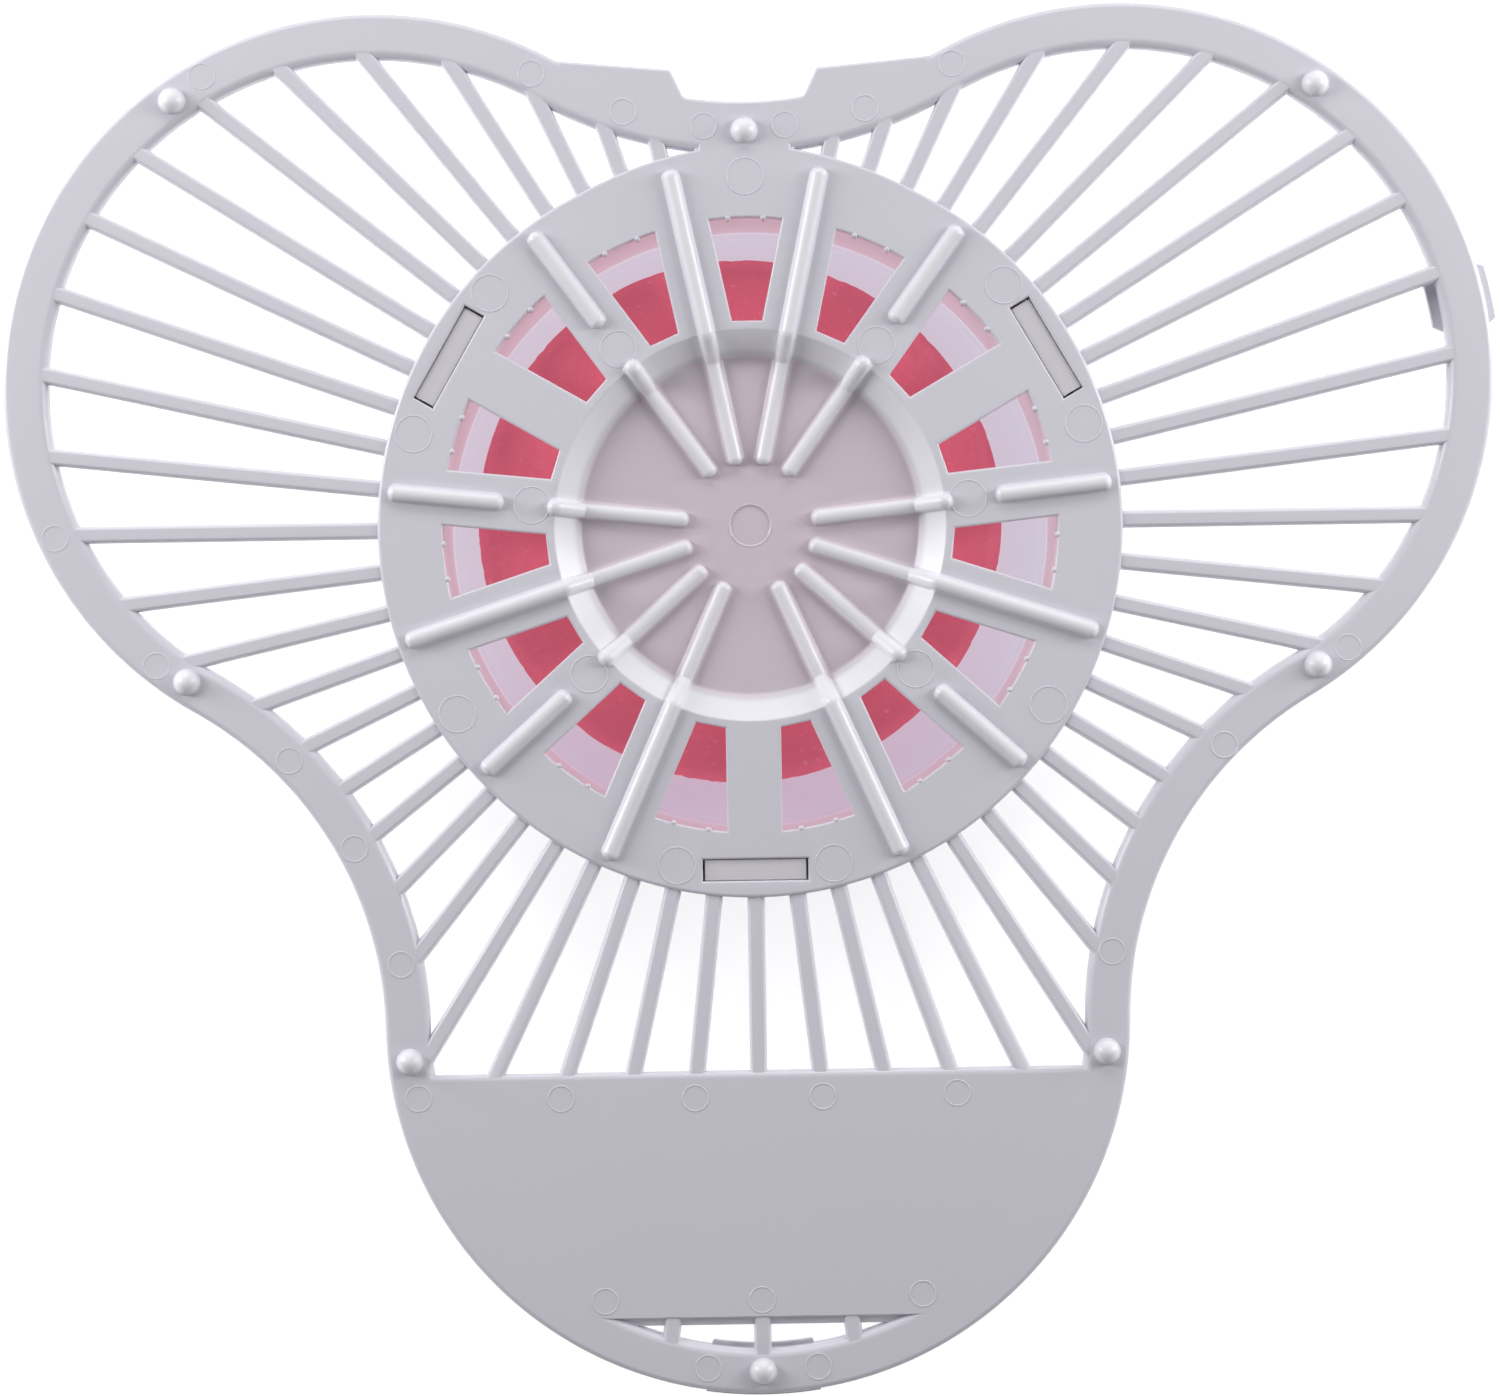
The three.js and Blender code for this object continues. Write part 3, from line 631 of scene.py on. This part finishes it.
def rib(inner, outer, angle):
    """A rib with a round crest and hollow feet, carried along its path.

    Over its last stretch at each end the section shrinks as the chord of a half circle,
    which is the square root of 1 - (1 - nearness) squared.
    """
    path = rib_path(inner, outer)
    run = np.concatenate([[0], np.cumsum(np.linalg.norm(np.diff(path, axis=0), axis=1))])
    ends = RIB_HALF * (1 - np.cos(np.linspace(0, math.pi / 2, 7)))
    between = run[(run > 1.1 * RIB_HALF) & (run < run[-1] - 1.1 * RIB_HALF)]
    stations = np.concatenate([ends, between, run[-1] - ends[::-1]])
    path = np.column_stack([np.interp(stations, run, path[:, k]) for k in (0, 1)])
    nearness = np.clip(np.minimum(stations, run[-1] - stations) / RIB_HALF, 0, 1)
    shrink = np.maximum(np.sqrt(1 - (1 - nearness) ** 2), RIB_TIP)
    step = np.diff(path, axis=0)
    step = step / np.linalg.norm(step, axis=1)[:, None]
    normal = np.column_stack([-step[:, 1], step[:, 0]])
    mitre = normal[:-1] + normal[1:]
    mitre = 2 * mitre / (mitre * mitre).sum(axis=1)[:, None]
    normal = np.concatenate([normal[:1], mitre, normal[-1:]])
    t = np.radians(np.linspace(0, 180, 13))
    crown = RIB_HEIGHT - RIB_HALF * RIB_CREST * (1 - np.sin(t))
    crest = np.column_stack([RIB_HALF * np.cos(t), crown])
    foot = RIB_FOOT + (RIB_HALF, 0)
    sole = np.array([(-foot[0, 0], -RIB_SINK), (foot[0, 0], -RIB_SINK)])
    section = np.concatenate([foot, crest, foot[::-1] * MIRROR, sole])
    side = section[None, :, 0] * shrink[:, None]
    rise = np.where(section[:, 1] > 0, section[:, 1] * shrink[:, None], section[:, 1])
    place = path[:, None] + rise[..., None] * normal[:, None]
    way, across = radial(angle)
    grid = np.empty((len(path), len(section), 3))
    grid[..., :2] = place[..., :1] * way + side[..., None] * across
    grid[..., 2] = place[..., 1]
    return shell(grid)


def ribs():
    """Whole ribs and broken ones, alike on both sides of the notch."""
    made = []
    for side in (-1, 1):
        for bar in WHOLE_BARS:
            made.append(rib(RIB_INNER, RIB_OUTER, side * (bar + 0.5) * PITCH))
        for bar in BROKEN_BARS:
            angle = side * (bar + 0.5) * PITCH
            made.append(rib(RIB_INNER, RIB_BREAK, angle))
            made.append(rib(RIB_RESTART, RIB_OUTER, angle))
    return made


def feet():
    """Half-ball feet on the middle of the rim, and one where the web meets it."""
    middle = ARC_RADIUS - RIM_WIDTH / 2
    places = []
    for angle in UPPER_FEET:
        right = on_circle(RIGHT_LOBE, middle, angle)
        places += [right, right * MIRROR]
    places += [on_circle(LOWER_LOBE, middle, angle) for angle in LOWER_FEET]
    places.append(np.array([0.0, TOP_WAIST[1] - ARC_RADIUS - RIM_WIDTH / 2]))
    return domes(places, FOOT_RADIUS, TOP, FOOT_HEIGHT, hollow=FOOT_HOLLOW)


def pin_marks():
    """Faint rings left by the mould's pins: low ridges with sloping sides."""
    hub = HUB_PIN_CIRCLE * direction(HUB_PINS)
    bars = BAR_PIN_CIRCLE * direction(BAR_PINS)
    rings = [([*hub, *bars], HUB_RING, TOP), (RIM_PINS, RIM_RING, TOP)]
    rings.append(([(0, 0)], CENTRE_MARK, DISH_FLOOR))
    made = []
    for places, radius, level in rings:
        profile = np.array(RING_SECTION) + (radius, level)
        made += [shell(revolve(profile, place, RING_STEPS), looped=True) for place in places]
    return made


def pads():
    """Two pads behind the rim, a little wider than it, with slanted ends.

    An outline runs along two arcs that lie the overhang outside the rim's edges. At both
    ends it slants in to points that lie inside them.
    """
    made = []
    steps = 15
    for lobe, middle, half, overhang in PADS:
        slant = math.degrees(overhang / ARC_RADIUS)
        arc = np.linspace(half - slant, slant - half, steps)
        turns = np.radians(middle + np.array([*-arc, half, half, *arc, -half, -half]))
        end = [ARC_RADIUS - PAD_NARROWING, ARC_RADIUS - RIM_WIDTH + PAD_NARROWING]
        radii = [ARC_RADIUS + overhang] * steps + end
        radii += [ARC_RADIUS - RIM_WIDTH - overhang] * steps + end[::-1]
        ways = np.column_stack([np.cos(turns), np.sin(turns)])
        levels = pillow(PAD_EDGE, RIM_BACK + PAD_SINK, RIM_BACK - PAD_THICKNESS, steps=2)
        made.append(plate(lobe + np.array(radii)[:, None] * ways, levels))
    return made


def screen_moulding():
    """The whole screen as one closed body."""
    piece = solid("screen_moulding", hub_plate())
    join(piece, web())
    join(piece, rim())
    join(piece, horns())
    combine(piece, "UNION", panel())
    cut(piece, *windows())
    cut(piece, *slots(POCKET_WIDTH, flare(EDGE, TOP, BACK + LEDGE_THICKNESS)))
    cut(piece, *slots(NECK_WIDTH, [(0, BACK - 1), (0, TOP)]))
    join(piece, *pin_marks())
    join(piece, spokes())
    join(piece, *ribs())
    join(piece, *pips())
    join(piece, *feet())
    join(piece, *pads())
    return finished(piece, CREASE)


# Cage and block


def vents():
    """Cutters of the slots with round ends in the cage's face, one behind each window."""
    t = np.radians(np.linspace(0, 180, 9))
    cap = VENT_HALF * np.column_stack([np.cos(t), np.sin(t)])
    outline = np.concatenate([cap + (0, VENT_OUTER - VENT_HALF), (0, VENT_INNER + VENT_HALF) - cap])
    made = []
    for i in range(WINDOWS):
        way, across = radial(i * PITCH)
        made.append(plate(outline[:, :1] * across + outline[:, 1:] * way, VENT_LEVELS))
    return made


def tabs():
    """The clip tabs: a stem and a wider head, drawn out along each slot."""
    corners = [
        (-TAB_STEM, TAB_ROOT), (TAB_STEM, TAB_ROOT), (TAB_STEM, TAB_HOOK), (TAB_HEAD, TAB_HOOK),
        (TAB_HEAD, TAB_TIP), (-TAB_HEAD, TAB_TIP), (-TAB_HEAD, TAB_HOOK), (-TAB_STEM, TAB_HOOK),
    ]
    section = fillet(corners, [0, 0, 0.15, 0.1, 0.2, 0.2, 0.1, 0.15], steps=3, closed=True)
    made = []
    for angle in TAB_ANGLES:
        way, across = radial(angle)
        grid = np.empty((2, len(section), 3))
        for station, side in enumerate((-TAB_LENGTH / 2, TAB_LENGTH / 2)):
            grid[station, :, :2] = way * (TAB_CIRCLE + section[:, :1]) + side * across
            grid[station, :, 2] = section[:, 1]
        made.append(shell(grid))
    return made


def cage():
    """The clip-in cage: a drafted cup with a flange, vents in its face and three tabs."""
    foot = CAGE_MOUTH - CAGE_DRAFT
    profile = [
        (1.0, 0),
        (foot + CAGE_WALL, 0),
        (CAGE_MOUTH + CAGE_WALL, CAGE_DEPTH - FLANGE_THICKNESS),
        (FLANGE_RADIUS, CAGE_DEPTH - FLANGE_THICKNESS),
        (FLANGE_RADIUS, CAGE_DEPTH),
        (CAGE_MOUTH, CAGE_DEPTH),
        (foot, FACE_THICKNESS),
        (1.0, FACE_THICKNESS),
    ]
    rounded = fillet(profile, [0, 2.4, 0.7, 0.3, 0.3, 0.35, 0.7, 0])
    piece = solid("clip_in_cage", shell(revolve(rounded)))
    cut(piece, *vents())
    join(piece, *tabs())
    return finished(piece, CREASE)


def grain(x, y, rng, sizes):
    """Uneven height: a sum of waves with random ways and phases, for each size of grain."""
    height = np.zeros_like(x)
    for size, depth in sizes:
        turn = rng.uniform(0, 2 * math.pi, GRAIN_WAVES)
        phase = rng.uniform(0, 2 * math.pi, GRAIN_WAVES)
        pace = 2 * math.pi / (size * rng.uniform(0.7, 1.4, GRAIN_WAVES))
        waves = x[..., None] * np.cos(turn) * pace + y[..., None] * np.sin(turn) * pace + phase
        height += depth * math.sqrt(2 / GRAIN_WAVES) * np.sin(waves).sum(axis=-1)
    return height


def fragrance_block():
    """The pressed block: a disc with chamfered edges and an uneven surface.

    Grain lifts and lowers the faces. Chips, which only take away, draw in the rings near
    the edge.
    """
    rng = np.random.default_rng(11)
    shoulder = BLOCK_RADIUS - BLOCK_EDGE
    face = np.linspace(1.0, shoulder, BLOCK_RINGS)
    corners = [
        (shoulder, BLOCK_TOP), (BLOCK_RADIUS, BLOCK_TOP - BLOCK_EDGE),
        (BLOCK_RADIUS, BLOCK_BOTTOM + BLOCK_EDGE), (shoulder, BLOCK_BOTTOM),
    ]
    wall = fillet(corners, [0, 0.4, 0.4, 0], steps=3)
    profile = np.concatenate([
        np.column_stack([face, np.full(BLOCK_RINGS, BLOCK_TOP)]),
        wall[1:-1],
        np.column_stack([face[::-1], np.full(BLOCK_RINGS, BLOCK_BOTTOM)]),
    ])
    grid = revolve(profile, BLOCK_CENTRE, BLOCK_TURN_STEPS)
    bumps = grain(grid[..., 0], grid[..., 1], rng, [(9.0, 0.03), (2.6, 0.035), (1.2, 0.02)])
    upward = np.where(grid[..., 2] > BLOCK_MIDDLE, 1.0, -1.0)
    grid[..., 2] += np.clip(bumps, -BUMP_LIMIT, BUMP_LIMIT) * upward
    from_centre = grid[..., :2] - BLOCK_CENTRE
    around = np.arctan2(from_centre[..., 1], from_centre[..., 0])
    chips = grain(around * BLOCK_RADIUS, grid[..., 2], rng, [(6.0, 0.05), (1.6, 0.05)])
    reach = np.hypot(from_centre[..., 0], from_centre[..., 1])
    near_edge = reach > BLOCK_RADIUS - CHIP_REACH
    worn = 1 + np.where(near_edge, np.minimum(chips, 0.0), 0.0) / BLOCK_RADIUS
    grid[..., :2] = from_centre * worn[..., None] + BLOCK_CENTRE
    return finished(solid("fragrance_block", shell(grid)), BLOCK_CREASE)


# Materials


class Value:
    """A shader socket in Python arithmetic: each operator adds one Math node."""

    def __init__(self, material, socket):
        self.material = material
        self.socket = socket

    def __add__(self, other):
        return self.material.math("ADD", self, other)

    def __sub__(self, other):
        return self.material.math("SUBTRACT", self, other)

    def __rsub__(self, other):
        return self.material.math("SUBTRACT", other, self)

    def __mul__(self, other):
        return self.material.math("MULTIPLY", self, other)

    __radd__ = __add__
    __rmul__ = __mul__


class Material:
    """A node material, built by one method that adds any node."""

    def __init__(self, name):
        self.data = bpy.data.materials.new(name)
        self.data.use_nodes = True
        self.tree = self.data.node_tree
        self.tree.nodes.clear()
        self.place = self.node("ShaderNodeTexCoord").outputs["Object"]

    def node(self, kind, settings=None, **inputs):
        """Adds a node, with its settings first and then its sockets' values or links.

        A socket goes by its name, or by its number after an underscore.
        """
        made = self.tree.nodes.new(kind)
        for name, value in (settings or {}).items():
            setattr(made, name, value)
        for name, value in inputs.items():
            key = int(name[1:]) if name[0] == "_" else name.replace("_", " ")
            self.feed(made.inputs[key], value)
        return made

    def feed(self, socket, value):
        """Links a value or a socket to an input, or sets the input to a plain number."""
        if isinstance(value, Value):
            self.tree.links.new(value.socket, socket)
        elif isinstance(value, bpy.types.NodeSocket):
            self.tree.links.new(value, socket)
        else:
            socket.default_value = value

    def math(self, operation, *values):
        """The result of one Math node."""
        inputs = {f"_{i}": value for i, value in enumerate(values)}
        made = self.node("ShaderNodeMath", {"operation": operation}, **inputs)
        return Value(self, made.outputs[0])

    def ramp(self, value, low, high):
        """0 below low, 1 above high, and a smooth rise between them."""
        made = self.node(
            "ShaderNodeMapRange", {"interpolation_type": "SMOOTHSTEP"},
            Value=value, From_Min=low, From_Max=high,
        )
        return Value(self, made.outputs["Result"])

    def noise(self, scale, detail=2.0, roughness=0.5):
        """Soft noise between 0 and 1, with this many grains to the metre."""
        made = self.node(
            "ShaderNodeTexNoise", Vector=self.place, Scale=scale, Detail=detail,
            Roughness=roughness,
        )
        return Value(self, made.outputs["Fac"])

    def millimetres(self):
        """The surface point's reach from the hub's axis, its y and its z, in millimetres."""
        parts = self.node("ShaderNodeSeparateXYZ", _0=self.place).outputs
        x, y, z = [Value(self, part) * 1000 for part in parts]
        return self.math("SQRT", x * x + y * y), y, z

    def blend(self, factor, one, two):
        """A colour that goes from one to two as the factor goes from 0 to 1."""
        one, two = [(*end, 1) if isinstance(end, tuple) else end for end in (one, two)]
        made = self.node("ShaderNodeMix", {"data_type": "RGBA"}, Factor=factor, _6=one, _7=two)
        return made.outputs[2]

    def bump(self, height, depth, strength):
        """A normal that follows a height, where a height of 1 is this many millimetres."""
        made = self.node("ShaderNodeBump", Height=height, Distance=depth * MM, Strength=strength)
        return made.outputs["Normal"]

    def principled(self, **inputs):
        """Ends the material with its one shader."""
        shader = self.node("ShaderNodeBsdfPrincipled", **inputs)
        self.node("ShaderNodeOutputMaterial", Surface=shader.outputs[0])
        return self.data


def screen_plastic():
    """Satin white moulding with a lavender cast, painted pink where the block's light shines
    through.

    The dish's floor is painted pink for that light. Its wall and the crests of ribs and feet are
    painted whiter, as a painted highlight.
    """
    warm_white, cool_white = (0.735, 0.72, 0.79), (0.71, 0.70, 0.775)
    shine_through_pink, highlight_white = (0.70, 0.61, 0.685), (0.86, 0.85, 0.90)
    m = Material("screen_plastic")
    reach, _, z = m.millimetres()
    body = m.blend(m.noise(28.0), warm_white, cool_white)
    # painted light: the dish's floor is painted pink for the block's light that comes through the
    # plastic
    on_floor = 1 - m.ramp(reach, DISH_FLOOR_RADIUS - 0.8, DISH_FLOOR_RADIUS + 1.5)
    floor = on_floor * (1 - m.ramp(z, DISH_FLOOR + 0.2, DISH_FLOOR + 1.0))
    in_dish = 1 - m.ramp(reach, DISH_RADIUS - 0.3, DISH_RADIUS + 0.3)
    above_floor = m.ramp(z, DISH_FLOOR + 0.4, DISH_FLOOR + 1.2) * in_dish
    # painted highlight: crests above the plate, and the dish's wall and ribs above its floor, are
    # painted whiter
    crest = m.math("MAXIMUM", m.ramp(z, TOP + 0.35, TOP + 1.2), above_floor)
    crest = crest * m.ramp(z, DISH_FLOOR + 0.2, DISH_FLOOR + 0.8)
    flow = m.ramp(m.noise(420.0), 0.35, 0.75)
    peel = m.noise(900.0, 3.0) * 0.6 + m.noise(150.0) * 0.4
    return m.principled(
        Base_Color=m.blend(crest, m.blend(floor, body, shine_through_pink), highlight_white),
        Roughness=flow * 0.08 + 0.30,
        Normal=m.bump(peel, 0.02, 0.35),
    )


def cage_plastic():
    """The same satin plastic, painted pink for the block's light inside it: paler on the face than
    on the wall.

    The glow on the inside stands in for light that comes through the plastic. It fades
    along the face towards the splash panel, as painted shade under the hub.
    """
    # wall_pink and the face's colours are painted light: pink for the block's light inside the cage
    outside, wall_pink = (0.72, 0.69, 0.74), (0.55, 0.34, 0.40)
    face_warm, face_cool = (0.50, 0.45, 0.50), (0.48, 0.43, 0.49)
    shaded_face_glow, high_glow, wall_glow = (0.31, 0.31, 0.39), (0.36, 0.43, 0.49), (0.23, 0.25, 0.28)
    m = Material("cage_plastic")
    reach, y, z = m.millimetres()
    within = 1 - m.ramp(reach, CAGE_MOUTH + 1.0, CAGE_MOUTH + 1.6)
    below_flange = 1 - m.ramp(z, CAGE_DEPTH - 1.0, CAGE_DEPTH)
    inside = within * below_flange * m.ramp(z, FACE_THICKNESS - 1.0, FACE_THICKNESS - 0.1)
    off_face = m.ramp(z, FACE_THICKNESS + 0.4, FACE_THICKNESS + 2.5)
    wall = m.ramp(reach, CAGE_MOUTH - 0.8, CAGE_MOUTH - 0.3) * off_face
    face = m.blend(m.noise(40.0), face_warm, face_cool)
    # painted shade: the face's glow is dimmer towards the splash panel
    shine = m.blend(m.ramp(y, -45, -5), shaded_face_glow, high_glow)
    return m.principled(
        Base_Color=m.blend(inside, outside, m.blend(wall, face, wall_pink)),
        Roughness=m.noise(300.0) * 0.1 + 0.38,
        Normal=m.bump(m.noise(700.0, 3.0), 0.02, 0.35),
        Emission_Color=m.blend(inside, (0, 0, 0), m.blend(wall, shine, wall_glow)),
        Emission_Strength=1.0,
    )


def fragrance_compound():
    """Pressed fragrance compound: deep pink, matt and grainy, with paler crystals, and a painted
    glow.
    """
    deep, light, crystal = (0.58, 0.095, 0.15), (0.64, 0.125, 0.18), (0.86, 0.45, 0.50)
    # painted light: the block glows, standing in for light that reaches it through the plastic
    deep_glow, crystal_glow = (0.31, 0.065, 0.10), (0.5, 0.26, 0.3)
    m = Material("fragrance_compound")
    cells = m.node("ShaderNodeTexVoronoi", Vector=m.place, Scale=900.0).outputs["Distance"]
    speck = m.ramp(m.noise(1500.0, 3.0, 0.6), 0.62, 0.74) * 0.2
    base = m.blend(m.ramp(m.noise(90.0, 3.0), 0.3, 0.7), deep, light)
    height = Value(m, cells) * 0.5 + m.noise(420.0, 4.0, 0.65)
    return m.principled(
        Base_Color=m.blend(speck, base, crystal),
        Roughness=m.noise(600.0) * 0.2 + 0.7,
        Normal=m.bump(height, 0.25, 0.8),
        Emission_Color=m.blend(speck, deep_glow, crystal_glow),
        Emission_Strength=1.0,
    )


def dress(piece, material, node):
    """Gives a finished piece its material and its body, and hides the node that it stands for."""
    piece.data.materials.clear()
    piece.data.materials.append(material)
    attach(piece, "root")
    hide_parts(node)


dress(screen_moulding(), screen_plastic(), "screen")
dress(cage(), cage_plastic(), "cage")
dress(fragrance_block(), fragrance_compound(), "block")


# Bench, light and camera, in metres but for the camera's frame

BENCH_HALF = 3.0
BENCH_LEVEL = -0.0001  # just under the cage's face, so that the two don't coincide
BENCH_GLOW = 0.62
SKY_STRENGTH = 0.12
LIT_POINT = (0.0, -0.02, 0.02)
# Lamps: name, place, width, height and power in watts
LAMPS = (
    ("head_light", (0.0, 0.42, 0.25), 0.6, 0.14, 0.95),
    ("left_light", (-0.48, 0.14, 0.18), 0.14, 0.45, 2.4),
    ("right_light", (0.48, 0.14, 0.18), 0.14, 0.45, 2.25),
    ("foot_light", (0.0, -0.8, 0.36), 0.5, 0.2, 0.9),
)
FRAME_WIDTH = 204.3  # what the photograph's width spans at the underside's level
CAMERA_RISE = 720.0  # above the underside
CAMERA_PLACE = (-0.4, -23.6)
CAMERA_TILT = -0.9  # degrees about the line of sight
SENSOR_WIDTH = 36.0


def bench():
    """A wide white bench that keeps the object's shadow and is white to the camera."""
    mesh = bpy.data.meshes.new("bench")
    signs = ((-1, -1), (1, -1), (1, 1), (-1, 1))
    corners = [(x * BENCH_HALF, y * BENCH_HALF, BENCH_LEVEL) for x, y in signs]
    mesh.from_pydata(corners, [], [(0, 1, 2, 3)])
    floor = bpy.data.objects.new("bench", mesh)
    bpy.context.scene.collection.objects.link(floor)
    m = Material("bench")
    path = m.node("ShaderNodeLightPath").outputs
    seen = m.math("MAXIMUM", Value(m, path["Is Camera Ray"]), Value(m, path["Is Glossy Ray"]))
    seen = m.math("MAXIMUM", seen, Value(m, path["Is Transmission Ray"]))
    paint = m.node("ShaderNodeBsdfDiffuse", Color=(0.86, 0.86, 0.87, 1)).outputs[0]
    glow = m.node("ShaderNodeEmission", Color=(1, 1, 1, 1), Strength=seen * BENCH_GLOW).outputs[0]
    both = m.node("ShaderNodeAddShader", _0=paint, _1=glow)
    m.node("ShaderNodeOutputMaterial", Surface=both.outputs[0])
    mesh.materials.append(m.data)


def softbox(name, place, width, height, power):
    """A rectangular lamp that faces the lit point."""
    data = bpy.data.lights.new(name, "AREA")
    data.shape = "RECTANGLE"
    data.size, data.size_y = width, height
    data.energy = power
    lamp = bpy.data.objects.new(name, data)
    lamp.location = place
    aim = Vector(LIT_POINT) - Vector(place)
    lamp.rotation_euler = aim.to_track_quat("-Z", "Y").to_euler()
    bpy.context.scene.collection.objects.link(lamp)


def studio():
    """A dim white room with soft lamps on all four sides."""
    world = bpy.data.worlds.new("studio")
    bpy.context.scene.world = world
    world.use_nodes = True
    sky = world.node_tree.nodes["Background"]
    sky.inputs["Color"].default_value = (1, 1, 1, 1)
    sky.inputs["Strength"].default_value = SKY_STRENGTH
    for lamp in LAMPS:
        softbox(*lamp)


def camera():
    """Straight down over the middle of the photograph, turned by its small tilt."""
    data = bpy.data.cameras.new("photo_camera")
    data.sensor_width = SENSOR_WIDTH
    data.lens = SENSOR_WIDTH * CAMERA_RISE / FRAME_WIDTH
    eye = bpy.data.objects.new("photo_camera", data)
    eye.location = (CAMERA_PLACE[0] * MM, CAMERA_PLACE[1] * MM, (TOP + CAMERA_RISE) * MM)
    eye.rotation_euler = (0, 0, math.radians(CAMERA_TILT))
    bpy.context.scene.collection.objects.link(eye)
    bpy.context.scene.camera = eye


bench()
studio()
camera()
bpy.context.scene.view_settings.view_transform = "Standard"
